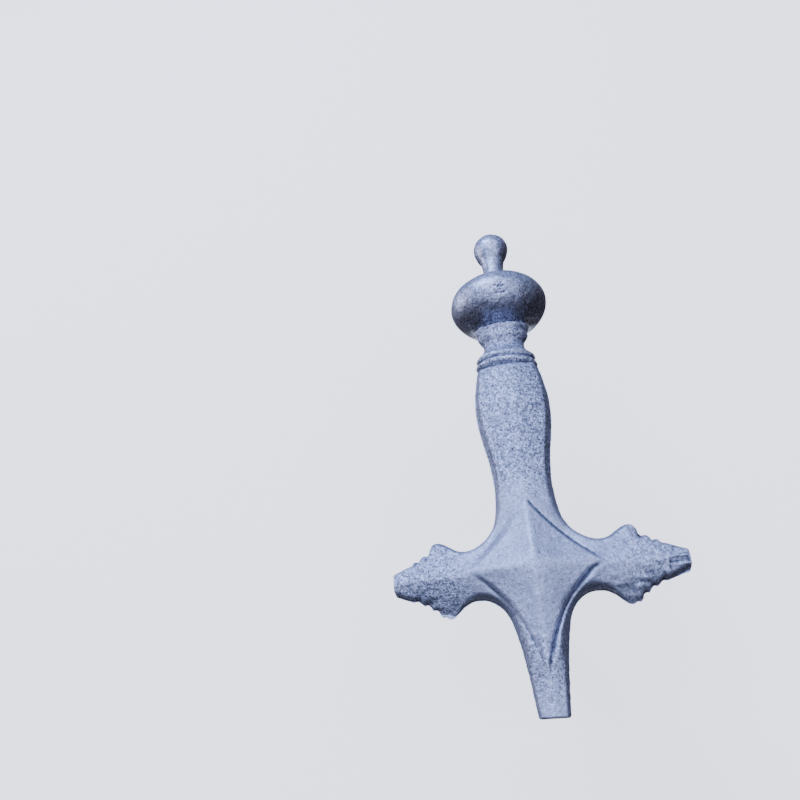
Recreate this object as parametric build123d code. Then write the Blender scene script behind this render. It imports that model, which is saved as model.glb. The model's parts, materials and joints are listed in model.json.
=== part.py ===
from build123d import *
import os
from math import cos, radians, sin

# Shutter dog with a cast cruciform arm shaped like a sabre hilt, hung on a wall screw.
#
# The dog holds an open shutter against the wall. Its flat tongue stands up in front of the
# shutter's bottom rail, and its ball hangs below the pivot as the weight that keeps it upright.
#
# Frame: millimetres, +Z up, -Y out of the wall towards a person facing it. The origin is on
# the pivot axis, in the plane of the wall. The casting is the same left and right, and its
# back is plain around the pivot boss.

# ---- Driving dimensions -------------------------------------------------------------
STANDOFF = 36.0  # wall to the casting's middle plane, which leaves 29 for the shutter
TONGUE_TOP = 43.2  # end of the tongue above the pivot
ARM_REACH = 47.1  # blunt end of each cross arm from the middle
ARM_LEVEL = 1.0  # the arms' ridge lies this much above the pivot
APEX = 13.5  # star's peak in front of the middle plane
GRIP_TOP = -28.5  # where the cross runs into the grip
GRIP_END = -73.0  # where the grip meets the bead rings
CUP_RIM = -91.0  # rim of the cup that the ball sits in
BALL_AT = -101.8  # centre of the ball
BALL_RADIUS = 18.4
BALL_FULL_HALF = 12.6  # ball's middle to its end in the cup
BALL_FLAT_HALF = 10.4  # ball's middle to its end at the finial
FINIAL_AT = -129.3  # centre of the finial's bulb
FINIAL_RADIUS = 6.9
FINIAL_TIP = 6.0  # bulb's centre to its tip
NECK_FLATNESS = 0.74  # depth over width of the neck, its rings and its cup
POST_RADIUS = 4.0  # the wall screw's plain shank and journal
RUNNING = 0.03  # radial clearance of the journal in the bush
LOOSE = 0.1  # radial clearance of washers, nut and sleeve on the post
SNUG = 0.02  # radial clearance between pieces that are fixed together

# ---- Where things lie along the pivot axis, as distances out from the wall -----------
SEAL_FRONT = 1.5
HEX_FRONT = 7.0
SLEEVE_FRONT = 16.0
NUT_FRONT = 20.0
WAVE_FRONT = 21.4
GLIDE_FRONT = 22.4
FLANGE_BACK = 22.5
BOSS_BACK = 25.0
BUSH_FRONT = 38.0
CLIP_BACK = 38.8
CLIP_FRONT = 39.6
POST_END = 40.4
POCKET_END = 41.2
END_GAP = 0.1  # between the end washer and its neighbours

# ---- Wall screw ---------------------------------------------------------------------
LAG_LENGTH = 50.0  # part of the screw behind the wall's face
PLAIN_SHANK = 14.0  # of which this much has no thread
LAG_POINT = 9.0  # and this much is the point
LAG_CORE = 2.9  # radius between the turns of the wood thread
LAG_CREST = 3.95
LAG_PITCH = 3.5
SHOULDER_RADIUS = 5.0  # collar between the hexagon and the wall, inside the seal
HEX_FLATS = 13.0  # spanner size of the post's hexagon and of the nut
CHAMFER = 0.6  # on the journal's end
GROOVE_RADIUS = 3.3  # bottom of the retaining clip's groove

# ---- Washers, sleeve and clip: outer radii ------------------------------------------
SEAL_RADIUS = 8.5
SLEEVE_RADIUS = 7.5
WAVE_RADIUS = 7.2
WAVE_THICKNESS = 0.35
GLIDE_RADIUS = 7.3
END_WASHER_RADIUS = 6.6
CLIP_RADIUS = 5.9
CLIP_GAP = 4.0  # mouth of the clip's open ring

# ---- Bush and its screws ------------------------------------------------------------
BOSS_RADIUS = 14.0
FLANGE_RADIUS = 13.5
BUSH_RADIUS = 7.0
SCREW_CIRCLE = 10.25  # radius on which the three flange screws stand
SCREW_COUNT = 3
SCREW_RADIUS = 1.48
SCREW_HOLE = 1.5  # in the casting
FLANGE_HOLE = 1.6  # in the bush's flange
SCREW_GRIP = 7.5  # length of the screw inside the casting
HEAD_RADIUS = 2.75
HEAD_DEPTH = 1.5  # from the flange's face to the end of the countersink
HEAD_SET_BACK = 0.05  # head's face below the flange's face
SOCKET_RADIUS = 1.15
SOCKET_DEPTH = 1.1

# ---- Finial -------------------------------------------------------------------------
STUD_RADIUS = 2.5
STUD_DEPTH = 12.0  # how far the finial's stud goes into the neck
SEAT_RADIUS = 5.2  # flat-bottomed seat of the finial in the end of the ball
SEAT_DEPTH = 1.2
STEM_RADIUS = 4.4
STEM_TOP = 2.4  # height of the foot between the seat and the stem


def disc(radius, back, front, x=0.0, z=0.0):
    """Cylinder along the pivot axis, between two distances out from the wall."""
    plane = Plane(origin=(x, -back, z), x_dir=(1, 0, 0), z_dir=(0, -1, 0))
    return extrude(plane * Circle(radius), front - back)


def ring(outer, inner, back, front):
    """Washer or sleeve along the pivot axis."""
    return disc(outer, back, front) - disc(inner, back, front)


def turned(points):
    """Solid turned about Z from a closed polyline of (radius, height) points."""
    return revolve(Plane.XZ * make_face(Polyline(*points, close=True)), Axis.Z)


def triangle(a, b, c):
    return Face(Wire.make_polygon((a, b, c), close=True))


def closed(faces):
    """Solid inside a closed set of faces, whichever way they were wound."""
    solid = Solid(Shell(faces))
    return solid if solid.volume > 0 else Solid(solid.wrapped.Reversed())


def sign(value):
    return 1 if value > 0 else -1


def save(shape, node):
    shape.label = node
    export_step(shape, f"parts/{node}.step")


# ---- The casting --------------------------------------------------------------------
def guard_outline():
    """Outline of the cross seen from the front: tongue up, toothed arms, grip down."""
    upper_teeth = [(28.3, 13.0), (30.5, 12.5), (31.8, 10.9), (33.2, 10.3), (34.6, 8.5), (36.2, 8.2), (38.2, 6.8)]
    lower_teeth = [(41.0, -4.5), (38.6, -5.7), (37.6, -6.8), (34.6, -7.2), (33.4, -8.2), (32.5, -10.6), (30.3, -11.7)]
    half = [
        Line((0, TONGUE_TOP), (4.7, TONGUE_TOP)),
        Spline((4.7, TONGUE_TOP), (6.2, 30.0), (8.8, 16.5), (13.2, 9.6), (19.8, 8.2), (25.0, 11.0), upper_teeth[0]),
        Polyline(*upper_teeth, (46.0, 4.5), (ARM_REACH, 3.6), (ARM_REACH, -2.0), (46.2, -2.8), *lower_teeth),
        Spline(lower_teeth[-1], (26.6, -10.0), (22.3, -8.2), (16.4, -10.2), (11.6, -15.6), (9.8, GRIP_TOP)),
        Line((9.8, GRIP_TOP), (0, GRIP_TOP)),
    ]
    right = Curve() + half
    return make_face(right + mirror(right, Plane.YZ))


def section(plane, half_width, half_depth, shoulder=0.62):
    """Eight-cornered section with a ridge at front and back and a thin edge at each side."""
    w, d = half_width, half_depth
    quarter = [(0, d), (0.8 * w, shoulder * d), (w, 0), (0.8 * w, -shoulder * d), (0, -d)]
    corners = quarter + [(-x, y) for x, y in reversed(quarter[1:-1])]
    return plane * make_face(Polyline(*corners, close=True))


def upright(level, half_width, half_depth):
    """Section across the tongue or the grip, at a height."""
    plane = Plane(origin=(0, -STANDOFF, level), x_dir=(1, 0, 0), z_dir=(0, 0, 1))
    return section(plane, half_width, half_depth)


def across(x, half_width, half_depth):
    """Section across an arm, at a distance from the pivot."""
    plane = Plane(origin=(x, -STANDOFF, ARM_LEVEL), x_dir=(0, 0, 1), z_dir=(1, 0, 0))
    return section(plane, half_width, half_depth)


def grip():
    """Swelling grip, from inside the cross down to the bead rings."""
    steps = [(GRIP_TOP, 9.8, 7.8), (-40.0, 10.7, 8.2), (-57.5, 13.3, 9.4), (-66.0, 12.6, 9.0), (GRIP_END, 11.1, 8.2)]
    return loft([upright(*step) for step in steps])


def cross_roof():
    """Ridged block along the arms: high in the middle, low at the blunt ends."""
    steps = [(-ARM_REACH, 4.4, 4.2), (-30.0, 15.0, 6.4), (0, 19.0, 8.4), (30.0, 15.0, 6.4), (ARM_REACH, 4.4, 4.2)]
    return loft([across(*step) for step in steps], ruled=True)


def tongue_roof():
    """Ridged block along the tongue and into the root of the grip."""
    steps = [(GRIP_TOP, 9.8, 7.8), (0, 19.0, 8.4), (20.0, 9.5, 6.7), (TONGUE_TOP, 4.8, 4.4)]
    return loft([upright(*step) for step in steps], ruled=True)


def star():
    """Four-pointed star with hollow edges, raised to a peak at the front."""
    sharpness = 2.5  # exponent of the outline: 1 would be straight edges, more is hollower
    half_span, tongue_point, grip_point = 20.0, 27.0, 20.5
    point_heights = {0: 7.1, 90: 6.2, 180: 7.1, 270: 8.6}
    valley = 6.4
    rim = []
    for quarter in point_heights:
        following = point_heights[(quarter + 90) % 360]
        between = {0: point_heights[quarter], 25: (point_heights[quarter] + valley) / 2, 45: valley,
                   65: (following + valley) / 2}
        for step, height in between.items():
            c, s = cos(radians(quarter + step)), sin(radians(quarter + step))
            reach = tongue_point if s > 0 else grip_point
            rim.append((half_span * abs(c) ** sharpness * sign(c), reach * abs(s) ** sharpness * sign(s), height))
    middle = Vector(0, -STANDOFF, 0)
    peak = Vector(0, -STANDOFF - APEX, 0)
    faces = []
    for (x0, z0, h0), (x1, z1, h1) in zip(rim, rim[1:] + rim[:1]):
        low0, low1 = Vector(x0, -STANDOFF, z0), Vector(x1, -STANDOFF, z1)
        top0, top1 = Vector(x0, -STANDOFF - h0, z0), Vector(x1, -STANDOFF - h1, z1)
        faces += [triangle(peak, top0, top1), triangle(middle, low0, low1)]
        faces += [triangle(low0, low1, top1), triangle(low0, top1, top0)]
    return closed(faces)


def neck():
    """Bead rings, waisted neck and cup below the grip, flattened front to back."""
    profile = [
        (0, GRIP_END + 3.0), (9.0, GRIP_END + 3.0), (10.4, GRIP_END), (10.2, GRIP_END - 0.7), (11.1, GRIP_END - 1.6),
        (11.0, GRIP_END - 2.8), (10.2, GRIP_END - 3.4), (10.5, GRIP_END - 4.2), (9.8, GRIP_END - 6.2),
        (8.0, GRIP_END - 8.4), (7.4, GRIP_END - 10.0), (7.7, GRIP_END - 11.6), (8.8, GRIP_END - 14.6),
        (9.5, CUP_RIM + 1.2), (9.6, CUP_RIM), (0, CUP_RIM - 1.5),
    ]
    return Pos(0, -STANDOFF, 0) * scale(turned(profile), by=(1, NECK_FLATNESS, 1))


def dog_casting():
    tall = Plane(origin=(0, -STANDOFF + APEX, 0), x_dir=(1, 0, 0), z_dir=(0, -1, 0))
    block = extrude(tall * guard_outline(), 2 * APEX)
    cross = (block & cross_roof()) + (block & tongue_roof())
    body = cross + grip() + star() + neck()
    body += disc(BOSS_RADIUS, BOSS_BACK, STANDOFF)
    body -= disc(2 * BOSS_RADIUS, 0, BOSS_BACK)
    body -= disc(BUSH_RADIUS + SNUG, BOSS_BACK, POCKET_END)
    for x, z in screw_places():
        body -= disc(SCREW_HOLE, BOSS_BACK, BOSS_BACK + SCREW_GRIP + 0.7, x, z)
    body -= ball_shape(SNUG)
    stud_hole = Cylinder(STUD_RADIUS + SNUG, STUD_DEPTH + 3, align=(Align.CENTER, Align.CENTER, Align.MIN))
    return body - Pos(0, -STANDOFF, CUP_RIM - 2) * stud_hole


# ---- Ball and finial ----------------------------------------------------------------
def ball_shape(grow=0.0):
    """Flattened ball, turned: fuller towards the cup than towards the finial."""
    wide = BALL_RADIUS + grow
    full, flat = BALL_FULL_HALF + grow, BALL_FLAT_HALF + grow
    upper = EllipticalCenterArc((0, 0), wide, full, start_angle=0, arc_size=90)
    lower = EllipticalCenterArc((0, 0), wide, flat, start_angle=-90, arc_size=90)
    face = Plane.XZ * make_face(lower + upper + Line((0, full), (0, -flat)))
    return Pos(0, -STANDOFF, BALL_AT) * revolve(face, Axis.Z)


def pommel():
    bore = Cylinder(STUD_RADIUS + LOOSE, 3 * BALL_FULL_HALF)
    seat = Cylinder(SEAT_RADIUS, SEAT_DEPTH + 1, align=(Align.CENTER, Align.CENTER, Align.MAX))
    ball = ball_shape() - Pos(0, -STANDOFF, BALL_AT) * bore
    return ball - Pos(0, -STANDOFF, BALL_AT - BALL_FLAT_HALF + SEAT_DEPTH) * seat


def finial():
    """Pear-shaped knob with the stud that clamps the ball into the cup."""
    top = BALL_AT - BALL_FLAT_HALF + SEAT_DEPTH
    tip = FINIAL_AT - FINIAL_TIP
    foot = SEAT_RADIUS - LOOSE
    waist = (STEM_RADIUS, top - STEM_TOP)
    outline = Spline(waist, (STEM_RADIUS + 0.5, top - 9.0), (FINIAL_RADIUS, FINIAL_AT), (0, tip),
                     tangents=[(0, -1), (-1, 0)])
    stem = Polyline((0, tip), (0, top), (foot, top), (foot, top - STEM_TOP / 2), waist)
    knob = revolve(Plane.XZ * make_face(outline + stem), Axis.Z)
    stud_top = CUP_RIM + STUD_DEPTH
    stud = Cylinder(STUD_RADIUS, stud_top - top + 1, align=(Align.CENTER, Align.CENTER, Align.MIN))
    return Pos(0, -STANDOFF, 0) * (knob + Pos(0, 0, top - 1) * stud)


# ---- Pivot --------------------------------------------------------------------------
def screw_places():
    """(x, z) of the flange screws, the first straight above the pivot."""
    turns = [radians(90 + 360 * n / SCREW_COUNT) for n in range(SCREW_COUNT)]
    return [(SCREW_CIRCLE * cos(t), SCREW_CIRCLE * sin(t)) for t in turns]


def cone(radius_back, radius_front, back, front, x, z):
    """Cone along the pivot axis, wide end towards the wall."""
    plane = Plane(origin=(x, -(back + front) / 2, z), x_dir=(1, 0, 0), z_dir=(0, -1, 0))
    return plane * Cone(radius_back, radius_front, front - back)


def pivot_bush():
    bush = disc(FLANGE_RADIUS, FLANGE_BACK, BOSS_BACK) + disc(BUSH_RADIUS, BOSS_BACK, BUSH_FRONT)
    bush -= disc(POST_RADIUS + RUNNING, FLANGE_BACK, BUSH_FRONT)
    for x, z in screw_places():
        bush -= disc(FLANGE_HOLE, FLANGE_BACK, BOSS_BACK, x, z)
        bush -= cone(HEAD_RADIUS + LOOSE, FLANGE_HOLE, FLANGE_BACK, FLANGE_BACK + HEAD_DEPTH, x, z)
    return bush


def flange_screw(x, z):
    """Countersunk screw with a hexagon socket."""
    neck_at = FLANGE_BACK + HEAD_DEPTH
    screw = cone(HEAD_RADIUS, SCREW_RADIUS, FLANGE_BACK + HEAD_SET_BACK, neck_at, x, z)
    screw += disc(SCREW_RADIUS, neck_at, BOSS_BACK + SCREW_GRIP, x, z)
    plane = Plane(origin=(x, -FLANGE_BACK, z), x_dir=(1, 0, 0), z_dir=(0, -1, 0))
    return screw - extrude(plane * RegularPolygon(SOCKET_RADIUS, 6), SOCKET_DEPTH)


def hexagon(flats, back, front):
    plane = Plane(origin=(0, -back, 0), x_dir=(1, 0, 0), z_dir=(0, -1, 0))
    return extrude(plane * RegularPolygon(flats / 2, 6, major_radius=False), front - back)


def thread_turns(start, end):
    """(radius, height) points of the wood thread, with its turns modelled as rings."""
    points = [(LAG_CORE, start)]
    while start + LAG_PITCH <= end:
        points.append((LAG_CORE, start + 0.4 * LAG_PITCH))
        points.append((LAG_CREST, start + 0.75 * LAG_PITCH))
        start += LAG_PITCH
        points.append((LAG_CORE, start))
    return points


def wall_post():
    """One turned screw: point and wood thread in the wall, shoulder, hexagon, journal."""
    journal = [(0, -POST_END), (POST_RADIUS - CHAMFER, -POST_END), (POST_RADIUS, -POST_END + CHAMFER)]
    groove = [(POST_RADIUS, -CLIP_FRONT), (GROOVE_RADIUS, -CLIP_FRONT), (GROOVE_RADIUS, -CLIP_BACK),
              (POST_RADIUS, -CLIP_BACK)]
    shoulder = [(POST_RADIUS, -HEX_FRONT), (SHOULDER_RADIUS, -HEX_FRONT), (SHOULDER_RADIUS, 0), (POST_RADIUS, 0)]
    lag = [(POST_RADIUS, PLAIN_SHANK)] + thread_turns(PLAIN_SHANK + 1.2, LAG_LENGTH - LAG_POINT)
    point = [(0.4, LAG_LENGTH - 0.4), (0, LAG_LENGTH)]
    post = Rot(-90, 0, 0) * turned(journal + groove + shoulder + lag + point)
    return post + hexagon(HEX_FLATS, SEAL_FRONT, HEX_FRONT)


def wave_washer():
    """Thin spring ring with three waves, held between the nut and the glide washer."""
    inner, waves, points = POST_RADIUS + 3 * LOOSE, 3, 24
    low, high = NUT_FRONT, WAVE_FRONT - WAVE_THICKNESS
    faces = []

    def corner(radius, n, lift):
        angle = radians(360 * n / points)
        rise = low + (high - low) * (0.5 - 0.5 * cos(waves * angle)) + lift
        return Vector(radius * cos(angle), -rise, radius * sin(angle))

    def band(r0, r1, lift0, lift1):
        for n in range(points):
            a, b = corner(r0, n, lift0), corner(r1, n, lift1)
            c, d = corner(r1, n + 1, lift1), corner(r0, n + 1, lift0)
            faces.extend([triangle(a, b, c), triangle(a, c, d)])

    band(inner, WAVE_RADIUS, 0, 0)
    band(inner, WAVE_RADIUS, WAVE_THICKNESS, WAVE_THICKNESS)
    band(inner, inner, 0, WAVE_THICKNESS)
    band(WAVE_RADIUS, WAVE_RADIUS, 0, WAVE_THICKNESS)
    return closed(faces)


def retaining_clip():
    """Open ring that snaps into the groove at the journal's end."""
    clip = ring(CLIP_RADIUS, GROOVE_RADIUS + SNUG, CLIP_BACK + SNUG, CLIP_FRONT - SNUG)
    below = Plane(origin=(0, -CLIP_BACK, -CLIP_RADIUS), x_dir=(1, 0, 0), z_dir=(0, -1, 0))
    return clip - extrude(below * Rectangle(CLIP_GAP, CLIP_RADIUS), CLIP_FRONT - CLIP_BACK)


def lock_nut():
    nut = hexagon(HEX_FLATS, SLEEVE_FRONT, NUT_FRONT)
    return nut - disc(POST_RADIUS + LOOSE, SLEEVE_FRONT, NUT_FRONT)


def main():
    os.makedirs("parts", exist_ok=True)
    bore = POST_RADIUS + LOOSE
    save(dog_casting(), "dog_casting")
    save(pommel(), "pommel_ball")
    save(finial(), "finial")
    save(pivot_bush(), "pivot_bush")
    for number, (x, z) in enumerate(screw_places(), 1):
        save(flange_screw(x, z), f"flange_screw_{number}")
    save(wall_post(), "wall_post")
    save(ring(SEAL_RADIUS, SHOULDER_RADIUS + LOOSE, 0.0, SEAL_FRONT), "wall_seal")
    save(ring(SLEEVE_RADIUS, bore, HEX_FRONT, SLEEVE_FRONT), "spacer_sleeve")
    save(lock_nut(), "lock_nut")
    save(wave_washer(), "wave_washer")
    save(ring(GLIDE_RADIUS, bore, WAVE_FRONT, GLIDE_FRONT), "glide_washer")
    save(ring(END_WASHER_RADIUS, bore, BUSH_FRONT + END_GAP, CLIP_BACK - END_GAP), "end_washer")
    save(retaining_clip(), "retaining_clip")


main()
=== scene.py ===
import json
import math

import bmesh
import bpy
import numpy as np
from mathutils import Matrix, Vector, noise


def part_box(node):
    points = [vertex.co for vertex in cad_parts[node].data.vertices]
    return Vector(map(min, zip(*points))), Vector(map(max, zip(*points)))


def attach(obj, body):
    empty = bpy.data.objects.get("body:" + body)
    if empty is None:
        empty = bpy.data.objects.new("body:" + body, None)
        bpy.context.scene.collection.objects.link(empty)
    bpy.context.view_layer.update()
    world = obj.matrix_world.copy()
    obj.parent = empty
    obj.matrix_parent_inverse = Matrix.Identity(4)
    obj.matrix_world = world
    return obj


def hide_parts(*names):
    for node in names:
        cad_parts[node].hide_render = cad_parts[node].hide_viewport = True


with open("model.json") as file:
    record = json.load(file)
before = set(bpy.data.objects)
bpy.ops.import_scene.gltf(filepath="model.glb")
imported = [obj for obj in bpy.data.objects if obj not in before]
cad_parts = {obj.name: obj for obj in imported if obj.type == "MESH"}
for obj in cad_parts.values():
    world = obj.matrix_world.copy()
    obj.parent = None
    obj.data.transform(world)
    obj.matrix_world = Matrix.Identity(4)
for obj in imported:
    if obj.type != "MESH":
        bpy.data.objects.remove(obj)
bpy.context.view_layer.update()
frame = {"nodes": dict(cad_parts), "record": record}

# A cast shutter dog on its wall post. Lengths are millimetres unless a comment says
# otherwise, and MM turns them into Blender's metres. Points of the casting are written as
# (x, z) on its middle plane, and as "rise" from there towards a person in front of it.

MM = 0.001


def span(node):
    """Lowest and highest corner of a CAD node, in millimetres."""
    low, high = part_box(node)
    return np.array(low) / MM, np.array(high) / MM


CASTING_LOW, CASTING_HIGH = span("dog_casting")
BALL_LOW, BALL_HIGH = span("pommel_ball")
FINIAL_LOW, FINIAL_HIGH = span("finial")
POST_LOW, POST_HIGH = span("wall_post")
BUSH_HIGH = span("pivot_bush")[1]

MIDDLE = (BALL_LOW[1] + BALL_HIGH[1]) / 2  # y of the casting's middle plane
APEX = MIDDLE - CASTING_LOW[1]  # rise of the CAD star's peak
BOSS_DEPTH = CASTING_HIGH[1] - MIDDLE  # pivot boss's face behind the middle plane
REACH = CASTING_HIGH[0]  # end of an arm
TONGUE_TOP = CASTING_HIGH[2]
BALL_RADIUS = BALL_HIGH[0]
FINIAL_RADIUS = FINIAL_HIGH[0]
BOSS_RADIUS = BUSH_HIGH[0] + 0.5

GRIP_TOP = -28.5  # heights along z, from the pivot down to the ball
GRIP_END = -73.0
CUP_RIM = -91.0
BALL_AT = -101.8
BALL_FULL_HALF = 12.6  # half height of the ball towards the cup
BALL_FLAT_HALF = 10.4  # and towards the finial, where it is flatter
NECK_FLATNESS = 0.74  # the neck's thickness over its width
STAR_TOP = APEX - 1.4  # lower than the CAD star, which matches the photo's shading better
SHORT_ARM = REACH - 1.4  # the arm on the left of the photo is shorter
POCKET_RADIUS = 7.1  # pocket in the back for the journal, its washer and its clip
POCKET_DEPTH = 5.2  # rise of the pocket's floor
STUD_RADIUS = 2.55  # hole in the cup for the finial's stud
STUD_HOLE_END = CUP_RIM + 12
FLASH = 0.35  # swelling along the mould's joint, on the middle plane
CELL = 0.46  # grid that the casting is meshed on

# The photo's camera, from matching points on the board and the casting. Place in
# millimetres, lens in Blender's millimetres for a sensor 36 wide.
CAMERA_PLACE = (1.17, MIDDLE - 224.07, 46.66)
CAMERA_FORWARD = (0.15526, 0.88053, -0.44765)
CAMERA_UP = (-0.13329, -0.43041, -0.89276)
CAMERA_LENS = 30.6
CAMERA_SENSOR = 36.0

# Lamps: name, place and size in metres, watts, colour.
LAMPS = [
    ("key", (0.30, -0.70, -0.66), 0.5, 8.0, (0.47, 0.62, 1.0)),
    ("front", (-0.10, -1.05, 0.04), 1.8, 15.5, (0.62, 0.71, 1.0)),
    ("back", (0.0, 1.0, 0.06), 0.6, 6.0, (0.85, 0.9, 1.0)),
    ("side", (0.9, -0.1, -0.25), 0.5, 3.2, (0.78, 0.80, 1.0)),
]
LAMP_TARGET = (0, MIDDLE * MM, -0.04)

# Room light: colours from 0, facing away from SKY_BRIGHT, to 1, facing it.
SKY_BRIGHT = (0.24, -0.58, -0.78)
SKY = [
    (0.25, (0.03, 0.024, 0.022)),
    (0.48, (0.095, 0.085, 0.085)),
    (0.62, (0.22, 0.23, 0.31)),
    (0.76, (0.38, 0.46, 0.74)),
    (0.95, (0.46, 0.58, 1.0)),
]
BACKDROP_HALF = 3.0  # metres
BACKDROP_GLOW = 1.3


# ---- Small tools ----------------------------------------------------------------------
def smooth_min(a, b, k):
    h = np.clip(0.5 + 0.5 * (b - a) / k, 0, 1)
    return b + (a - b) * h - k * h * (1 - h)


def smooth_max(a, b, k):
    return -smooth_min(-a, -b, k)


def smooth_step(low, high, value):
    t = np.clip((value - low) / (high - low), 0, 1)
    return t * t * (3 - 2 * t)


def curve_through(points, per_span=10):
    """Catmull-Rom curve through the points, as a list of pairs."""
    p = np.array([points[0], *points, points[-1]], float)
    p[0] = 2 * p[1] - p[2]
    p[-1] = 2 * p[-2] - p[-3]
    out = []
    for i in range(1, len(p) - 2):
        for t in np.arange(per_span) / per_span:
            a = 2 * p[i]
            b = p[i + 1] - p[i - 1]
            c = 2 * p[i - 1] - 5 * p[i] + 4 * p[i + 1] - p[i + 2]
            d = -p[i - 1] + 3 * p[i] - 3 * p[i + 1] + p[i + 2]
            out.append(tuple(0.5 * (a + b * t + c * t * t + d * t**3)))
    return out + [tuple(p[-2])]


def value_noise(x, z, wavelength, seed):
    """Smooth random field over the plane, from -1 to 1."""
    cells = 64
    table = np.random.default_rng(seed).uniform(-1, 1, (cells, cells))
    gx, gz = x / wavelength + 1000, z / wavelength + 1000
    ix, iz = np.floor(gx).astype(int), np.floor(gz).astype(int)
    fx, fz = gx - ix, gz - iz
    fx, fz = fx * fx * (3 - 2 * fx), fz * fz * (3 - 2 * fz)

    def corner(a, b):
        return table[(ix + a) % cells, (iz + b) % cells]

    low = corner(0, 0) * (1 - fx) + corner(1, 0) * fx
    high = corner(0, 1) * (1 - fx) + corner(1, 1) * fx
    return low * (1 - fz) + high * fz


def shade(mesh, smooth):
    mesh.polygons.foreach_set("use_smooth", [smooth] * len(mesh.polygons))


def new_object(name, verts, faces):
    """Smooth-shaded mesh object from millimetre vertices."""
    mesh = bpy.data.meshes.new(name)
    points = [tuple(v) for v in np.asarray(verts) * MM]
    corners = [tuple(int(i) for i in face) for face in faces]
    mesh.from_pydata(points, [], corners)
    mesh.validate()
    shade(mesh, True)
    obj = bpy.data.objects.new(name, mesh)
    bpy.context.scene.collection.objects.link(obj)
    return obj


def per_point(mesh, quality):
    """Place ("co") or "normal" of every point, one row each, in Blender's metres."""
    values = np.empty(3 * len(mesh.vertices))
    mesh.vertices.foreach_get(quality, values)
    return values.reshape(-1, 3)


def add_layer(mesh, name, values):
    """Stores one number per point, for the materials to read."""
    layer = mesh.attributes.new(name, "FLOAT", "POINT")
    layer.data.foreach_set("value", np.asarray(values, np.float32))


def surface_net(field, origin, step):
    """Quads around the zero level of a 3-D field that is negative inside."""
    inside = field < 0
    n = np.array(field.shape) - 1
    corners = [(i, j, k) for i in (0, 1) for j in (0, 1) for k in (0, 1)]
    count = np.zeros(n, np.int8)
    for i, j, k in corners:
        count += inside[i:n[0] + i, j:n[1] + j, k:n[2] + k]
    active = (count > 0) & (count < 8)
    number = np.full(active.shape, -1)
    number[active] = np.arange(active.sum())
    cells = np.argwhere(active)
    total = np.zeros(cells.shape)
    hits = np.zeros(len(cells))
    for corner in corners:
        for axis in range(3):
            if corner[axis]:
                continue
            a = cells + corner
            b = a.copy()
            b[:, axis] += 1
            fa, fb = field[tuple(a.T)], field[tuple(b.T)]
            cross = (fa < 0) != (fb < 0)
            point = np.tile(np.array(corner, float), (len(cells), 1))
            point[:, axis] = np.where(cross, fa / np.where(cross, fa - fb, 1), 0)
            total[cross] += point[cross]
            hits += cross
    verts = origin + step * (cells + total / hits[:, None])
    quads = []
    for axis in range(3):
        u, v = (axis + 1) % 3, (axis + 2) % 3
        first = np.take(inside, range(field.shape[axis] - 1), axis)
        second = np.take(inside, range(1, field.shape[axis]), axis)
        at = np.argwhere(first != second)
        at = at[(at[:, u] > 0) & (at[:, v] > 0) & (at[:, u] < n[u]) & (at[:, v] < n[v])]
        leaving = first[tuple(at.T)]
        around = []
        for du, dv in ((0, 0), (1, 0), (1, 1), (0, 1)):
            cell = at.copy()
            cell[:, u] -= du
            cell[:, v] -= dv
            around.append(number[tuple(cell.T)])
        quad = np.stack(around, 1)
        quad[~leaving] = quad[~leaving][:, ::-1]
        quads.append(quad)
    return verts, np.concatenate(quads)


# ---- The casting's outline -------------------------------------------------------------
def half_outline():
    """Half of the silhouette on the middle plane, from the tongue's end to the rings.

    It runs past the ends of tongue and arm, where casting_field cuts it off straight.
    """
    tongue_side = [(4.2, TONGUE_TOP + 6), (4.7, TONGUE_TOP), (5.5, 36.0), (6.2, 30.0), (7.1, 24.0),
                   (8.4, 18.0), (10.0, 13.4), (12.6, 10.2), (16.0, 8.4), (20.0, 8.2), (23.2, 9.6),
                   (25.7, 11.7), (27.3, 12.9), (28.5, 13.0)]
    upper_teeth = [(29.6, 12.2), (30.6, 12.4), (31.5, 11.4), (31.9, 10.2), (32.7, 9.8), (33.6, 10.0),
                   (34.3, 8.8), (35.2, 8.0), (36.3, 8.3), (37.4, 7.4), (38.4, 6.6), (39.6, 6.8),
                   (42.4, 5.9), (45.6, 4.6)]
    tip = [(REACH + 5, 3.8), (REACH + 5, -2.0), (REACH - 1.0, -2.6)]
    lower_teeth = [(44.2, -3.4), (41.2, -4.7), (39.9, -5.0), (39.2, -6.2), (38.1, -6.3), (37.5, -5.9),
                   (36.8, -7.2), (35.6, -7.9), (34.4, -7.7), (33.8, -8.4), (33.5, -9.9), (32.6, -11.2),
                   (31.4, -11.8), (30.2, -11.8)]
    grip_side = [(28.6, -11.2), (26.2, -9.7), (24.2, -8.6), (21.8, -8.2), (19.0, -8.7), (16.0, -10.3),
                 (13.4, -12.7), (11.5, -15.8), (10.4, -20.0), (9.9, -25.0), (9.8, -30.0), (10.2, -35.0),
                 (10.9, -40.0), (11.9, -45.0), (12.7, -50.0), (13.2, -55.0), (13.2, -60.0),
                 (12.7, -65.0), (11.8, -70.0), (10.8, GRIP_END - 1.5)]
    arm = upper_teeth + tip + lower_teeth
    return curve_through(tongue_side, 6) + arm + curve_through(grip_side, 5)


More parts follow.
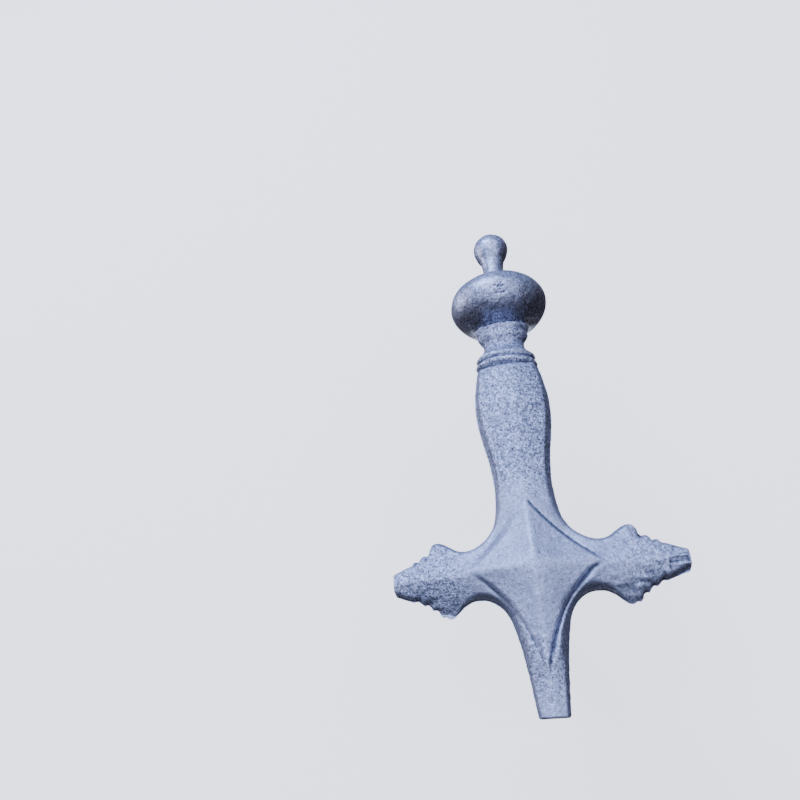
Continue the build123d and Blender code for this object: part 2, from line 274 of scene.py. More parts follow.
def outline_distance(x, z, loop):
    """Signed distance to a closed loop, negative inside."""
    best = np.full(x.shape, 1e9)
    crossings = np.zeros(x.shape, int)
    for (x0, z0), (x1, z1) in zip(loop, loop[1:] + loop[:1]):
        dx, dz = x1 - x0, z1 - z0
        t = np.clip(((x - x0) * dx + (z - z0) * dz) / max(dx * dx + dz * dz, 1e-12), 0, 1)
        best = np.minimum(best, (x - x0 - t * dx) ** 2 + (z - z0 - t * dz) ** 2)
        if z0 != z1:
            passes = ((z0 > z) != (z1 > z)) & (x < dx * (z - z0) / dz + x0)
            crossings += passes
    return np.sqrt(best) * np.where(crossings % 2, -1, 1)


# ---- The casting's relief --------------------------------------------------------------
def rounded(value, radius):
    """Absolute value with a rounded corner, for soft ridges."""
    return np.sqrt(value**2 + radius**2) - radius


def star_relief(x, z):
    """Rise of the four-pointed star, and a field that is 1 on its hollow edge, more outside."""
    half_span = 20.8
    reach = np.where(z > 0, 31.0, 21.5)
    hollow = 0.86 - 0.15 * smooth_step(-2.5, 2.5, z)
    across, along = (np.abs(x) / half_span) ** hollow, (np.abs(z) / reach) ** hollow
    total = across + along + 1e-6
    soft_x = rounded(x, 1.4 + 3.2 * smooth_step(-6, 5, z)) / half_span
    soft_z = rounded(z, 1.8 + 2.4 * smooth_step(4, -6, x)) / reach
    soft = soft_x**hollow + soft_z**hollow + 1e-6
    share = (soft_x**hollow - soft_z**hollow) / soft
    point = np.where(share > 0, 7.1, np.where(z > 0, 6.4, 8.0))
    valley = np.where(z > 0, 5.8, 6.6)
    rim = valley + (point - valley) * rounded(share, 0.12) ** 1.3
    shape = soft ** (1 / hollow)
    rise = STAR_TOP - (STAR_TOP - rim) * (shape + 0.1 * np.sin(np.pi * np.clip(shape, 0, 1)))
    return rise, total


# The stem, from grip to tongue: z, rise of its ridge, fall to each side per millimetre,
# and rounding of the sides per square millimetre.
STEM = [
    (-80, 6.6, 0.16, 0.02),
    (GRIP_END - 0.5, 7.0, 0.16, 0.02),
    (-72, 8.0, 0.16, 0.018),
    (-70, 8.5, 0.16, 0.016),
    (-66, 9.0, 0.17, 0.014),
    (-57.5, 9.4, 0.17, 0.012),
    (-40, 8.3, 0.17, 0.012),
    (GRIP_TOP, 7.9, 0.2, 0.01),
    (0, 8.0, 0.3, 0),
    (20, 7.6, 0.3, 0),
    (27, 6.6, 0.28, 0.01),
    (33, 5.4, 0.24, 0.02),
    (39, 4.7, 0.2, 0.02),
    (TONGUE_TOP, 4.6, 0.2, 0.02),
]


def front_relief(x, z):
    """Rise of the front over the middle plane, without the wall at the outline."""
    arm_ridge = np.interp(np.abs(x), [0, 20, 30, 38, REACH], [8.2, 7.3, 6.7, 5.9, 4.7])
    ridge_line = np.interp(np.abs(x), [0, 16, 24], [0.0, 0.4, 1.0])
    grip_fall = np.interp(np.abs(x), [0, 22, 34], [0.36, 0.28, 0.24])
    tongue_fall = np.interp(x, [-34, -22, 0, 22, 34], [0.36, 0.34, 0.34, 0.44, 0.48])
    to_grip = rounded(np.minimum(z - ridge_line, 0), 0.6)
    to_tongue = rounded(np.maximum(z - ridge_line, 0), 0.6)
    curl = 0.02 * smooth_step(16, 24, np.abs(x))
    arm = arm_ridge - grip_fall * to_grip - tongue_fall * to_tongue - curl * to_tongue**2
    heights, *columns = zip(*STEM)
    ridge, fall, rounding = (np.interp(z, heights, column) for column in columns)
    stem = ridge - fall * rounded(x, 1.4) - rounding * x**2
    return smooth_max(arm, stem, 1.2)


def texture(x, z):
    """Uneven sand-cast skin, with dimples on the leafy ends of the arms and wrinkles on one."""
    off_ridge = smooth_step(0.3, 1.8, np.abs(z - 1.0))
    leaf = smooth_step(20, 26, np.abs(x)) * off_ridge
    wrinkled = leaf * smooth_step(0, 2, z) * smooth_step(0, -2, x)
    dimples = 0.13 * value_noise(x, z, 1.25, 4) + 0.08 * value_noise(x, z, 0.9, 8)
    wrinkles = 0.3 * value_noise(x * 0.55 + 0.5 * z, z * 1.5, 1.8, 3) + 0.2 * value_noise(x, z, 2.6, 9)
    skin = 0.05 * value_noise(x, z, 4.5, 5) + 0.03 * value_noise(x, z, 1.6, 6)
    return leaf * dimples + wrinkled * wrinkles + skin


def bump_at(x, z, px, pz, radius, height):
    return height * np.exp(-((x - px) ** 2 + (z - pz) ** 2) / radius**2)


# Bumps and hollows on the front: x, z, radius, height.
FLAWS = [
    (-2.2, -3.2, 0.55, -0.3), (-1.3, 4.8, 0.5, -0.25), (-1.0, 6.0, 0.4, -0.2), (3.8, 21.5, 0.8, -0.35),
    (2.9, 20.0, 0.6, 0.3), (4.6, 23.5, 0.6, -0.25), (2.2, 24.5, 0.6, 0.2), (-3.0, 31.0, 0.5, -0.15),
]
NOTCHES = [
    (-33.6, -7.2, 0.9, -1.6), (-38.0, -5.6, 0.8, -1.2), (34.0, 7.6, 0.9, -0.8), (37.4, 6.4, 0.8, -0.8),
    (34.5, -6.4, 0.9, -0.8), (38.4, -4.6, 0.8, -0.7),
]
LOBES = [
    (-30.5, 9.0, 1.5, 0.6), (-33.0, 6.2, 1.3, 0.6), (-36.0, 4.6, 1.2, 0.5), (-28.0, 6.0, 1.7, 0.4),
    (-39.2, 3.6, 1.0, 0.4), (30.2, 9.2, 1.6, 0.4), (33.0, 6.0, 1.2, 0.35), (-29.5, -9.0, 2.2, 0.7),
    (29.5, -9.2, 2.0, 0.5),
]
PANEL_AT = (-43.4, 1.7)  # small framed panel at the tip of the longer arm
PANEL_HALF = (3.4, 1.1)
PANEL_LINE = 0.42  # width and height of its frame
PANEL_SINK = 0.25  # depth of the field inside the frame


def small_features(x, z):
    """Casting flaws, notches behind the teeth, lobes of the leaf, and the panel at one tip."""
    out = sum(bump_at(x, z, *spot) for spot in FLAWS + NOTCHES + LOBES)
    across, along = np.abs(x - PANEL_AT[0]), np.abs(z - PANEL_AT[1])
    from_frame = np.maximum(across - PANEL_HALF[0], along - PANEL_HALF[1])
    panel = PANEL_LINE * np.exp(-(from_frame / PANEL_LINE) ** 2)
    return out + panel - PANEL_SINK * smooth_step(0.1, -0.4, from_frame)


def quadrant(x, z, grip_left, grip_right, tongue_left, tongue_right):
    """Blends four values across the cross. Left and right are those of the photo."""
    right, tongue_share = smooth_step(2.0, -2.0, x), smooth_step(-1.5, 1.5, z)
    grip = grip_left + (grip_right - grip_left) * right
    tongue = tongue_left + (tongue_right - tongue_left) * right
    return grip + (tongue - grip) * tongue_share


def faces_relief(x, z):
    """Rise of the front and of the back, with grooves, border rolls and skin."""
    base = front_relief(x, z)
    star, total = star_relief(x, z)
    gx, gz = np.gradient(total, CELL)
    outside = (total - 1) / np.maximum(np.hypot(gx, gz), 1e-3)
    # Groove, border roll and step beside the star. They differ from quarter to quarter.
    depth = quadrant(x, z, 0.12, 0.5, 0.32, 1.15)
    width = quadrant(x, z, 1.2, 0.5, 0.5, 0.75)
    height = quadrant(x, z, 0.05, 0.12, 0.2, 0.65)
    step = quadrant(x, z, 1.8, 0.9, 1.2, 0.6)
    near_tip = smooth_step(21, 15, np.abs(x)) * smooth_step(30, 24, z) * smooth_step(-24, -20, z)
    groove = depth * np.exp(-((outside - 0.4) / width) ** 2) * near_tip
    roll = height * np.exp(-((outside - 2.5) / 1.3) ** 2) * near_tip
    border = base + roll - groove
    front = star + (border - star) * smooth_step(-0.4 * step, step, outside)
    front = front + texture(x, z) + small_features(x, z)
    back = base + 0.5 * texture(-x, z + 31)
    return front, back


# Neck between the grip and the ball: how far below the grip's end, and its radius there.
NECK = [
    (-1.2, 9.6), (0.4, 9.8), (1.0, 10.9), (2.0, 11.2), (2.7, 10.3), (3.4, 9.9), (4.2, 10.7), (5.0, 10.7),
    (5.8, 9.6), (6.8, 8.7), (8.4, 7.6), (10.0, 7.2), (11.4, 7.5), (12.8, 8.6), (14.0, 9.2), (15.4, 9.1),
    (16.6, 9.6), (17.4, 10.0), (18.2, 9.7),
]


def casting_field(x, rise, z):
    """Negative inside the casting. x, rise and z are broadcastable grids in millimetres.

    Factors a little below 1 keep the field's slope near 1 on slanting and squashed surfaces.
    """
    x2, z2 = np.broadcast_arrays(x[:, 0, :], z[:, 0, :])
    half = half_outline()
    loop = half + [(-px, pz) for px, pz in reversed(half)]
    edge = outline_distance(x2, z2, loop) + FLASH
    edge += 0.06 * value_noise(x2, z2, 2.1, 11)
    front, back = faces_relief(x2, z2)
    relief = np.where(rise > 0, front[:, None, :], back[:, None, :])
    roof = (np.abs(rise) - relief) * 0.92
    flash = FLASH * np.exp(-((rise / 0.5) ** 2))
    wall = edge[:, None, :] + np.abs(rise) ** 2.2 / 28.0
    facet = (edge[:, None, :] + 0.26 * np.abs(rise)) * 0.95
    share = smooth_step(-22, -34, z)
    side = wall + (facet - wall) * share - flash
    body = smooth_max(roof, side, 0.5)
    arm_ends = np.maximum(x - SHORT_ARM, -x - REACH)
    ends = np.maximum(arm_ends, z - TONGUE_TOP) + 0.012 * rise**2
    body = smooth_max(body, ends, 0.35)

    slant = z + 0.035 * x
    drops, radii = zip(*NECK)
    neck_radius = np.interp(-slant, [drop - GRIP_END for drop in drops], radii)
    neck = (np.hypot(x, rise / NECK_FLATNESS) - neck_radius) * 0.8
    neck = neck - 0.5 * flash + 0.06 * value_noise(x, z + rise, 1.8, 21)
    neck = np.maximum(neck, np.maximum(z - GRIP_END - 1.0, CUP_RIM - z))
    body = np.maximum(body, GRIP_END - 0.9 - z)
    solid = smooth_min(body, neck, 0.3)

    boss = np.hypot(x, z) - BOSS_RADIUS
    boss = np.maximum(boss, np.maximum(-rise - BOSS_DEPTH, rise))
    solid = smooth_min(solid, boss, 1.2)
    solid = np.maximum(solid, -rise - BOSS_DEPTH)
    pocket = np.maximum(np.hypot(x, z) - POCKET_RADIUS, rise - POCKET_DEPTH)
    solid = np.maximum(solid, -pocket)
    ball = np.hypot(np.hypot(x, rise) / BALL_RADIUS, (z - BALL_AT) / BALL_FULL_HALF) - 1
    solid = np.maximum(solid, -ball * BALL_FULL_HALF)
    stud = np.maximum(np.hypot(x, rise) - STUD_RADIUS, z - STUD_HOLE_END)
    return np.maximum(solid, -stud)


def add_wear_and_shade(obj):
    """Stores how far each point stands proud of, or sinks below, its smoothed surroundings. The material
    darkens the sunken points as painted shade and brightens the proud ones as wear.
    """
    rounds = 3
    full_proud_height = 0.12  # height that counts as fully proud
    mesh = obj.data
    count = len(mesh.vertices)
    edges = np.empty(2 * len(mesh.edges), int)
    mesh.edges.foreach_get("vertices", edges)
    edges = edges.reshape(-1, 2)
    places, normals = per_point(mesh, "co"), per_point(mesh, "normal")
    valence = np.bincount(edges.ravel(), minlength=count)[:, None]
    smoothed = places.copy()
    for _ in range(rounds):
        total = np.zeros((count, 3))
        np.add.at(total, edges[:, 0], smoothed[edges[:, 1]])
        np.add.at(total, edges[:, 1], smoothed[edges[:, 0]])
        smoothed = total / np.maximum(valence, 1)
    height = ((places - smoothed) * normals).sum(1) / (full_proud_height * MM)
    add_layer(mesh, "wear_and_shade", np.clip(0.5 + 0.5 * height, 0, 1))


def flash_fin(loop, seed):
    """Thin torn fin around the outline on the middle plane: (vertices, faces)."""
    points = np.array(loop)
    ahead, behind = np.roll(points, -1, 0), np.roll(points, 1, 0)
    along = ahead - behind
    out = np.stack([along[:, 1], -along[:, 0]], 1) / np.maximum(np.hypot(*along.T), 1e-6)[:, None]
    if np.sum(points[:, 0] * ahead[:, 1] - ahead[:, 0] * points[:, 1]) < 0:
        out = -out
    uneven = value_noise(points[:, 0], points[:, 1], 1.1, seed)[:, None]
    rim = points + out * (0.12 * uneven - 0.04)
    root = points - out * 1.1
    root_half, rim_half = 0.3, 0.13
    verts, faces = [], []
    for inner, outer in zip(root, rim):
        section = ((inner, -root_half), (outer, -rim_half), (outer, rim_half), (inner, root_half))
        for (px, pz), rise in section:
            verts.append((px, MIDDLE - rise, pz))
    for i in range(len(points)):
        j = (i + 1) % len(points)
        for k in range(4):
            m = (k + 1) % 4
            faces.append((4 * i + k, 4 * j + k, 4 * j + m, 4 * i + m))
    return verts, faces


def even_steps(loop, step):
    """The closed loop again, with points at equal distances along it."""
    points = np.array(loop + loop[:1])
    length = np.concatenate([[0], np.cumsum(np.hypot(*np.diff(points, axis=0).T))])
    places = np.arange(0, length[-1], step)
    return list(zip(np.interp(places, length, points[:, 0]), np.interp(places, length, points[:, 1])))


def make_fin():
    """The fin as a closed ring that the casting's surface hides except for its rim."""
    short_end, long_end, top = REACH - 1.6, REACH - 0.3, TONGUE_TOP - 0.3
    half = [(min(px, short_end), min(pz, top)) for px, pz in half_outline()]
    other = [(-px if px < short_end else -long_end, pz) for px, pz in reversed(half)]
    verts, faces = flash_fin(even_steps(half + other, 0.45), 17)
    fin = new_object("fin", verts, faces)
    merge_points(fin)
    shade(fin.data, False)
    # Fixed values: the fin reads as a worn proud edge, a little brighter, with none of the painted shade.
    for name, value in (("wear_and_shade", 0.75), ("coarse", 0.4)):
        add_layer(fin.data, name, [value] * len(fin.data.vertices))
    return fin


def make_casting():
    """The cast cross, meshed from its field and kept inside the CAD casting's box."""
    margin = 2 * CELL
    low = np.array([-REACH, -BOSS_DEPTH, CUP_RIM]) - margin
    high = np.array([REACH, APEX, TONGUE_TOP]) + margin
    x, rise, z = (np.arange(a, b + CELL, CELL, dtype=np.float32) for a, b in zip(low, high))
    field = casting_field(x[:, None, None], rise[None, :, None], z[None, None, :])
    verts, quads = surface_net(field, low, CELL)
    verts[:, 1] = MIDDLE - verts[:, 1]
    verts = np.clip(verts, CASTING_LOW, CASTING_HIGH)
    casting = new_object("cast_dog", verts, quads[:, ::-1])
    add_wear_and_shade(casting)
    add_grain(casting)
    return casting


# ---- Turned pieces ---------------------------------------------------------------------
def lathe(name, profile, axis, centre, columns=96, shape=None, wrap=False):
    """Solid or ring turned from (radius, height) points about the Y or Z axis through centre."""
    verts, faces = [], []
    rows = len(profile)
    for c in range(columns):
        angle = 2 * math.pi * c / columns
        for radius, height in profile:
            r = shape(angle, radius, height) if shape else radius
            a, b = r * math.cos(angle), r * math.sin(angle)
            offset = (a, height, b) if axis == "Y" else (a, b, height)
            verts.append([centre[i] + offset[i] for i in range(3)])
    for c in range(columns):
        following = (c + 1) % columns
        for row in range(rows if wrap else rows - 1):
            after = (row + 1) % rows
            here, there = c * rows, following * rows
            faces.append((here + row, there + row, there + after, here + after))
    obj = new_object(name, verts, faces)
    merge_points(obj)
    return obj


def merge_points(obj):
    """Merges points that coincide, and turns all faces outwards."""
    bm = bmesh.new()
    bm.from_mesh(obj.data)
    bmesh.ops.remove_doubles(bm, verts=bm.verts, dist=1e-6)
    bmesh.ops.dissolve_degenerate(bm, edges=bm.edges, dist=1e-7)
    bmesh.ops.recalc_face_normals(bm, faces=bm.faces)
    bm.to_mesh(obj.data)
    bm.free()
    shade(obj.data, True)


def displace(obj, height_at):
    """Moves each point along its normal, by a function of its place in millimetres."""
    mesh = obj.data
    places, normals = per_point(mesh, "co"), per_point(mesh, "normal")
    moves = np.array([height_at(Vector(place)) for place in places / MM])
    mesh.vertices.foreach_set("co", (places + normals * moves[:, None] * MM).ravel())
    mesh.update()


def roughen(obj, height, wavelength, seed):
    """Uneven cast skin, mostly a little below the smooth surface."""
    offset = Vector((seed, seed, seed))
    smoothness, lacunarity, octaves, drop = 0.8, 2.0, 4, 0.6

    def height_at(place):
        value = noise.fractal(place / wavelength + offset, smoothness, lacunarity, octaves)
        return (value - drop) * height

    displace(obj, height_at)


def add_grain(obj):
    """Stores how coarse the sand grain is: 1 on the grip, least on the star."""
    x, _, z = per_point(obj.data, "co").T / MM
    grip = smooth_step(-18, -34, z) - 0.35 * smooth_step(-91, -93, z)
    tongue = 0.55 * smooth_step(17, 25, z) * smooth_step(41, 35, z)
    short_arm, long_arm = 0.9 * smooth_step(18, 28, x), 0.5 * smooth_step(-22, -32, x)
    amount = np.maximum(np.maximum(grip, short_arm), np.maximum(tongue, long_arm))
    add_layer(obj.data, "coarse", 0.36 + 0.64 * amount)


def pit(obj, centre, spots):
    """Rough patches left by the sand: (x, rise, z, radius) from the centre, always cut inwards."""
    patches = [(Vector((x, -rise, z)), radius) for x, rise, z, radius in spots]
    floor, extra, wavelength = 0.15, 1.1, 0.8

    def height_at(place):
        place = place - Vector(centre)
        share = sum(math.exp(-((place - spot).length / radius) ** 4) for spot, radius in patches)
        return -share * (floor + extra * max(noise.noise(place / wavelength), 0.0))

    displace(obj, height_at)


def make_ball():
    """Flattened ball. It is turned a touch small, so that its skin stays inside the CAD ball."""
    rows, columns, shrink = 121, 240, 0.998
    centre = (0, MIDDLE, BALL_AT)
    pits = [(-0.8, 17.6, 3.6, 2.9), (12.6, 4.5, 8.6, 2.4)]
    profile = []
    for degrees in np.linspace(-90, 90, rows):
        half = BALL_FULL_HALF if degrees > 0 else BALL_FLAT_HALF
        a = math.radians(degrees)
        profile.append((max(BALL_RADIUS * math.cos(a), 0.0) * shrink, half * math.sin(a)))
    ball = lathe("cast_ball", profile, "Z", centre, columns)
    roughen(ball, 0.16, 6.0, 3.1)
    pit(ball, centre, pits)
    add_wear_and_shade(ball)
    add_grain(ball)
    return ball


def make_finial():
    """Round knob on a waisted stem, with the stud that runs through the ball."""
    top = BALL_AT - BALL_FLAT_HALF + 0.8
    tip = FINIAL_LOW[2]
    bulb = tip + 6.0
    stud_radius, stud_end = STUD_RADIUS - 0.1, STUD_HOLE_END - 0.5
    knob = [(0.0, tip), (2.4, tip + 0.4), (4.4, tip + 1.5), (5.9, tip + 3.2), (6.7, tip + 5.0),
            (FINIAL_RADIUS - 0.1, bulb + 0.6), (6.5, bulb + 2.6), (5.7, bulb + 4.6), (4.8, bulb + 6.2),
            (4.25, bulb + 8.2), (4.0, bulb + 10.6), (4.0, bulb + 13.4), (4.3, bulb + 15.6),
            (5.0, bulb + 16.7), (5.05, top)]
    profile = curve_through(knob, 5) + [(stud_radius, top), (stud_radius, stud_end), (0.0, stud_end)]
    profile = [(max(radius, 0.0), height) for radius, height in profile]
    finial = lathe("cast_finial", profile, "Z", (0, MIDDLE, 0))
    roughen(finial, 0.09, 3.0, 8.7)
    add_wear_and_shade(finial)
    add_grain(finial)
    return finial


# ---- Camera, light and backdrop ---------------------------------------------------------
def make_camera():
    """Looks at the front from the tongue's end, turned so that the ball is up."""
    data = bpy.data.cameras.new("camera")
    data.lens = CAMERA_LENS
    data.sensor_width = CAMERA_SENSOR
    data.clip_start = 0.01
    camera = bpy.data.objects.new("camera", data)
    forward = Vector(CAMERA_FORWARD).normalized()
    right = forward.cross(Vector(CAMERA_UP)).normalized()
    up = right.cross(forward)
    turn = Matrix((right, up, -forward)).transposed().to_4x4()
    camera.matrix_world = Matrix.Translation(Vector(CAMERA_PLACE) * MM) @ turn
    bpy.context.scene.collection.objects.link(camera)
    bpy.context.scene.camera = camera


def area_light(name, place, size, power, colour):
    """Round lamp aimed at LAMP_TARGET."""
    data = bpy.data.lights.new(name, "AREA")
    data.shape = "DISK"
    data.size = size
    data.energy = power
    data.color = colour
    lamp = bpy.data.objects.new(name, data)
    lamp.location = place
    lamp.rotation_mode = "QUATERNION"
    lamp.rotation_quaternion = (Vector(LAMP_TARGET) - Vector(place)).to_track_quat("-Z", "Y")
    bpy.context.scene.collection.objects.link(lamp)


def make_stage():
    """Pale backdrop behind the screw's point. It shows only from the front."""
    size, y = BACKDROP_HALF, (POST_HIGH[1] + 10) * MM
    corners = [(-size, y, -size), (size, y, -size), (size, y, size), (-size, y, size)]
    mesh = bpy.data.meshes.new("wall")
    mesh.from_pydata(corners, [], [(0, 1, 2, 3)])
    wall = bpy.data.objects.new("wall", mesh)
    bpy.context.scene.collection.objects.link(wall)
    material, nodes, links, surface = new_material("wall")
    surface.inputs["Base Color"].default_value = (0.88, 0.86, 0.83, 1)
    surface.inputs["Roughness"].default_value = 0.9
    surface.inputs["Emission Color"].default_value = (1.0, 0.99, 0.97, 1)
    surface.inputs["Emission Strength"].default_value = BACKDROP_GLOW
    clear = nodes.new("ShaderNodeBsdfTransparent")
    facing = nodes.new("ShaderNodeNewGeometry")
    mix = nodes.new("ShaderNodeMixShader")
    links.new(facing.outputs["Backfacing"], mix.inputs["Fac"])
    links.new(surface.outputs["BSDF"], mix.inputs[1])
    links.new(clear.outputs["BSDF"], mix.inputs[2])
    links.new(mix.outputs["Shader"], nodes["Material Output"].inputs["Surface"])
    mesh.materials.append(material)
    wall.visible_shadow = False
    wall.visible_glossy = False


def make_light():
    """Room light, brightest from the front and the ball's side, and the lamps."""
    world = bpy.data.worlds.new("room")
    world.use_nodes = True
    nodes, links = world.node_tree.nodes, world.node_tree.links
    direction = nodes.new("ShaderNodeTexCoord")
    along = nodes.new("ShaderNodeVectorMath")
    along.operation = "DOT_PRODUCT"
    along.inputs[1].default_value = Vector(SKY_BRIGHT).normalized()
    links.new(direction.outputs["Generated"], along.inputs[0])
    spread = nodes.new("ShaderNodeMapRange")
    spread.inputs["From Min"].default_value = -1
    links.new(along.outputs["Value"], spread.inputs["Value"])
    sky = ramp(nodes, links, spread.outputs["Result"], SKY)
    links.new(sky.outputs["Color"], nodes["Background"].inputs["Color"])
    bpy.context.scene.world = world
    for lamp in LAMPS:
        area_light(*lamp)


# ---- Materials ---------------------------------------------------------------------------
def new_material(name):
    """A material with its nodes, its links and its surface shader."""
    material = bpy.data.materials.new(name)
    material.use_nodes = True
    tree = material.node_tree
    return material, tree.nodes, tree.links, tree.nodes["Principled BSDF"]


def feed(links, socket, source):
    """Gives a socket a number, or the output of another node."""
    if isinstance(source, bpy.types.NodeSocket):
        links.new(source, socket)
    else:
        socket.default_value = source


def grain(nodes, links, place, scale, detail):
    """Noise in the piece's own space, so that it turns with the piece."""
    node = nodes.new("ShaderNodeTexNoise")
    node.inputs["Scale"].default_value = scale
    node.inputs["Detail"].default_value = detail
    node.inputs["Roughness"].default_value = 0.55
    links.new(place.outputs["Object"], node.inputs["Vector"])
    return node


def ramp(nodes, links, source, stops):
    """Colour ramp through (position, (r, g, b)) stops."""
    node = nodes.new("ShaderNodeValToRGB")
    elements = node.color_ramp.elements
    elements.remove(elements[-1])
    for i, (at, colour) in enumerate(stops):
        element = elements[0] if i == 0 else elements.new(at)
        element.position = at
        element.color = (*colour, 1)
    links.new(source, node.inputs["Fac"])
    return node


def multiply(nodes, links, first, second, share=1.0):
    node = nodes.new("ShaderNodeMixRGB")
    node.blend_type = "MULTIPLY"
    feed(links, node.inputs["Fac"], share)
    links.new(first.outputs["Color"], node.inputs["Color1"])
    links.new(second.outputs["Color"], node.inputs["Color2"])
    return node


def bump(nodes, links, source, strength, distance, below=None):
    node = nodes.new("ShaderNodeBump")
    feed(links, node.inputs["Strength"], strength)
    node.inputs["Distance"].default_value = distance * MM
    links.new(source, node.inputs["Height"])
    if below:
        links.new(below.outputs["Normal"], node.inputs["Normal"])
    return node


def cast_alloy(name, smoothest, roughest, relief):
    """Raw cast alloy: blue-grey, sand grain, bright on proud edges as wear, darker in grooves and pits as
    painted shade.
    """
    material, nodes, links, surface = new_material(name)
    surface.inputs["Metallic"].default_value = 1.0
    place = nodes.new("ShaderNodeTexCoord")
    fine = grain(nodes, links, place, 1800, 2)
    broad = grain(nodes, links, place, 80, 4)
    skin = grain(nodes, links, place, 620, 3)
    specks = nodes.new("ShaderNodeTexVoronoi")
    specks.inputs["Scale"].default_value = 1500
    links.new(place.outputs["Object"], specks.inputs["Vector"])
    wear_and_shade = nodes.new("ShaderNodeAttribute")
    wear_and_shade.attribute_name = "wear_and_shade"
    coarse = nodes.new("ShaderNodeAttribute")
    coarse.attribute_name = "coarse"
    tone = ramp(nodes, links, broad.outputs["Fac"],
                [(0.3, (0.45, 0.475, 0.62)), (0.7, (0.55, 0.58, 0.74))])
    pepper = ramp(nodes, links, fine.outputs["Fac"],
                  [(0.34, (0.30, 0.30, 0.32)), (0.5, (1, 1, 1))])
    salt = ramp(nodes, links, specks.outputs["Color"],
                [(0.08, (0.40, 0.40, 0.41)), (0.92, (1.5, 1.5, 1.5))])
    # Painted shade: hollows darkened to a third of the colour; proud edges brightened as wear.
    proud = ramp(nodes, links, wear_and_shade.outputs["Fac"],
                 [(0.1, (0.3, 0.31, 0.34)), (0.42, (0.93, 0.93, 0.94)), (0.6, (1, 1, 1)),
                  (0.95, (1.2, 1.2, 1.2))])
    peppered = multiply(nodes, links, tone, pepper, coarse.outputs["Fac"])
    salted = multiply(nodes, links, peppered, salt, coarse.outputs["Fac"])
    colour = multiply(nodes, links, salted, proud)
    links.new(colour.outputs["Color"], surface.inputs["Base Color"])
    rough = nodes.new("ShaderNodeMapRange")
    rough.inputs["To Min"].default_value = smoothest
    rough.inputs["To Max"].default_value = roughest
    links.new(skin.outputs["Fac"], rough.inputs["Value"])
    links.new(rough.outputs["Result"], surface.inputs["Roughness"])
    sand = bump(nodes, links, fine.outputs["Fac"], coarse.outputs["Fac"], 0.3 * relief)
    uneven = bump(nodes, links, skin.outputs["Fac"], 0.6, 0.4 * relief, sand)
    links.new(uneven.outputs["Normal"], surface.inputs["Normal"])
    return material


def worked(name, low, high, metallic, rough, scale, depth):
    """Finish of a machined, plated or moulded piece: two tones, grain and a fine bump."""
    material, nodes, links, surface = new_material(name)
    surface.inputs["Metallic"].default_value = metallic
    place = nodes.new("ShaderNodeTexCoord")
    broad = grain(nodes, links, place, scale / 8, 4)
    fine = grain(nodes, links, place, scale, 3)
    tone = ramp(nodes, links, broad.outputs["Fac"], [(0.3, low), (0.7, high)])
    links.new(tone.outputs["Color"], surface.inputs["Base Color"])
    spread = nodes.new("ShaderNodeMapRange")
    spread.inputs["To Min"].default_value = rough - 0.08
    spread.inputs["To Max"].default_value = rough + 0.08
    links.new(fine.outputs["Fac"], spread.inputs["Value"])
    links.new(spread.outputs["Result"], surface.inputs["Roughness"])
    skin = bump(nodes, links, fine.outputs["Fac"], 0.5, depth)
    links.new(skin.outputs["Normal"], surface.inputs["Normal"])
    return material


# ---- Wall screw and nut ------------------------------------------------------------------
HEX_FLATS = 13.0  # across the flats of the nut and of the screw's hexagon


def hexagon_radius(angle):
    """Distance from the axis to the side of a hexagon with corners on the X axis."""
    off = (angle + math.pi / 6) % (math.pi / 3) - math.pi / 6
    return HEX_FLATS / 2 / math.cos(math.pi / 6 - abs(off))


def chamfered_hexagon(angle, height, low, high):
    """The hexagon's radius, with its corners turned off towards both faces."""
    from_face = min(height - low, high - height)
    return min(hexagon_radius(angle), HEX_FLATS / 2 * 0.97 + 1.7 * from_face)


def steps_between(low, high, step):
    """Even steps of about the given length, with both ends."""
    return list(np.linspace(low, high, max(int(round((high - low) / step)), 1) + 1))


def make_post():
    """Journal with its clip groove, hexagon, shoulder, plain shank, wood thread and point."""
    front, tip = POST_LOW[1], POST_HIGH[1]
    journal, groove = 4.0, 3.3
    groove_front, groove_back = -39.6, -38.8
    hex_front, hex_back = -7.0, -1.5
    corner = HEX_FLATS / 2
    thread_from, point_from = 14.6, 41.0
    core, crest, pitch = 2.9, 3.94, 3.5
    flank, run_in = 0.24, 2.5  # half the ridge as a share of the pitch; length it grows over
    bulge, least_taper = 0.8, 0.06
    profile = [(0.0, front), (3.2, front), (3.4, front + 0.05), (3.95, front + 0.6), (journal, front + 0.7)]
    profile += [(journal, groove_front - 0.02), (3.98, groove_front), (groove, groove_front + 0.02)]
    profile += [(groove, groove_back - 0.02), (3.98, groove_back), (journal, groove_back + 0.02)]
    profile += [(journal, y) for y in steps_between(-38.5, hex_front - 0.05, 1.5)]
    profile += [(6.0, hex_front)]
    profile += [(corner, y) for y in steps_between(hex_front, hex_back, 0.25)]
    profile += [(6.0, hex_back), (5.0, hex_back + 0.02), (5.0, -0.1), (4.9, 0.0), (journal, 0.0)]
    profile += [(journal, y) for y in steps_between(0.05, thread_from - 0.8, 1.5)]
    profile += [(core, y) for y in steps_between(thread_from, tip - 0.4, 0.16)]
    profile += [(0.25, tip - 0.1), (0.0, tip)]

    def shape(angle, radius, y):
        if hex_front <= y <= hex_back and radius == corner:
            return chamfered_hexagon(angle, y, hex_front, hex_back)
        if y < thread_from or y > tip - 0.3:
            return radius
        taper = min(1.0, (tip - y) / (tip - point_from))
        phase = ((y - thread_from) / pitch + angle / (2 * math.pi)) % 1
        ridge = max(0.0, 1 - abs(phase - 0.5) / flank) ** bulge
        start = min(1.0, (y - thread_from) / run_in)
        return (core + (crest - core) * ridge * start) * max(taper, least_taper) ** bulge

    post = lathe("post_turned", profile, "Y", (0, 0, 0), shape=shape)
    sharpen(post, 38)
    return post


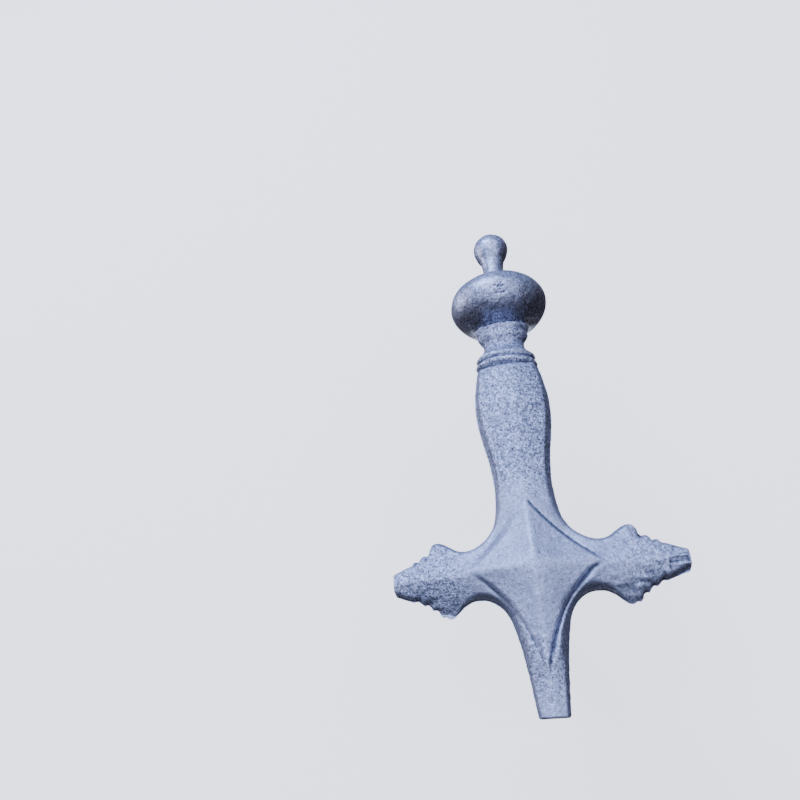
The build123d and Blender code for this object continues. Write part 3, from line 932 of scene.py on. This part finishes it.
def make_nut():
    """Hexagon nut with chamfered corners and a chamfered hole."""
    back, front, corner, hole = -16.0, -20.0, HEX_FLATS / 2, 4.1
    profile = [(hole + 0.4, front), (6.2, front)]
    profile += [(corner, y) for y in steps_between(front, back, 0.25)]
    profile += [(6.2, back), (hole + 0.4, back), (hole, back - 0.4), (hole, front + 0.4)]

    def shape(angle, radius, y):
        return chamfered_hexagon(angle, y, front, back) if radius == corner else radius

    nut = lathe("nut_turned", profile, "Y", (0, 0, 0), shape=shape, wrap=True)
    sharpen(nut, 30)
    return nut


def sharpen(obj, degrees):
    """Splits the shading along edges sharper than an angle."""
    bm = bmesh.new()
    bm.from_mesh(obj.data)
    for edge in bm.edges:
        edge.smooth = len(edge.link_faces) == 2 and edge.calc_face_angle(0) < math.radians(degrees)
    bm.to_mesh(obj.data)
    bm.free()


# ---- Everything in place -----------------------------------------------------------------
def fit(obj, node, body, material):
    """Puts a visual piece in the place of a CAD node."""
    obj.data.materials.append(material)
    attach(obj, body)
    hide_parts(node)


CAST = cast_alloy("cast_alloy", 0.5, 0.7, 1.0)
TURNED = cast_alloy("cast_alloy_turned", 0.36, 0.52, 0.45)

# Other finishes: slot, darker tone, lighter tone, metallic, roughness, grain, bump depth.
FINISHES = [
    ("bronze", (0.42, 0.25, 0.10), (0.60, 0.39, 0.17), 1.0, 0.33, 900, 0.05),
    ("screw_steel", (0.035, 0.035, 0.04), (0.07, 0.07, 0.075), 1.0, 0.42, 1400, 0.05),
    ("zinc_steel", (0.48, 0.50, 0.52), (0.64, 0.66, 0.68), 1.0, 0.34, 1100, 0.05),
    ("spring_steel", (0.16, 0.165, 0.18), (0.27, 0.28, 0.30), 1.0, 0.3, 1200, 0.03),
    ("nylon", (0.72, 0.69, 0.60), (0.80, 0.78, 0.70), 0.0, 0.5, 700, 0.04),
    ("seal_rubber", (0.012, 0.012, 0.013), (0.025, 0.025, 0.026), 0.0, 0.75, 1600, 0.1),
]
MATERIALS = {slot: worked(slot, *finish) for slot, *finish in FINISHES}

make_camera()
make_stage()
make_light()
fit(make_casting(), "dog_casting", "dog", CAST)
fit(make_fin(), "dog_casting", "dog", CAST)
fit(make_ball(), "pommel_ball", "dog", TURNED)
fit(make_finial(), "finial", "dog", TURNED)
fit(make_post(), "wall_post", "wall_fixing", MATERIALS["zinc_steel"])
fit(make_nut(), "lock_nut", "wall_fixing", MATERIALS["zinc_steel"])

SLOTS = {part["node"]: part["material_slot"] for part in frame["record"]["subparts"]}
for name, node in frame["nodes"].items():
    if SLOTS[name] in MATERIALS:
        node.data.materials.clear()
        node.data.materials.append(MATERIALS[SLOTS[name]])
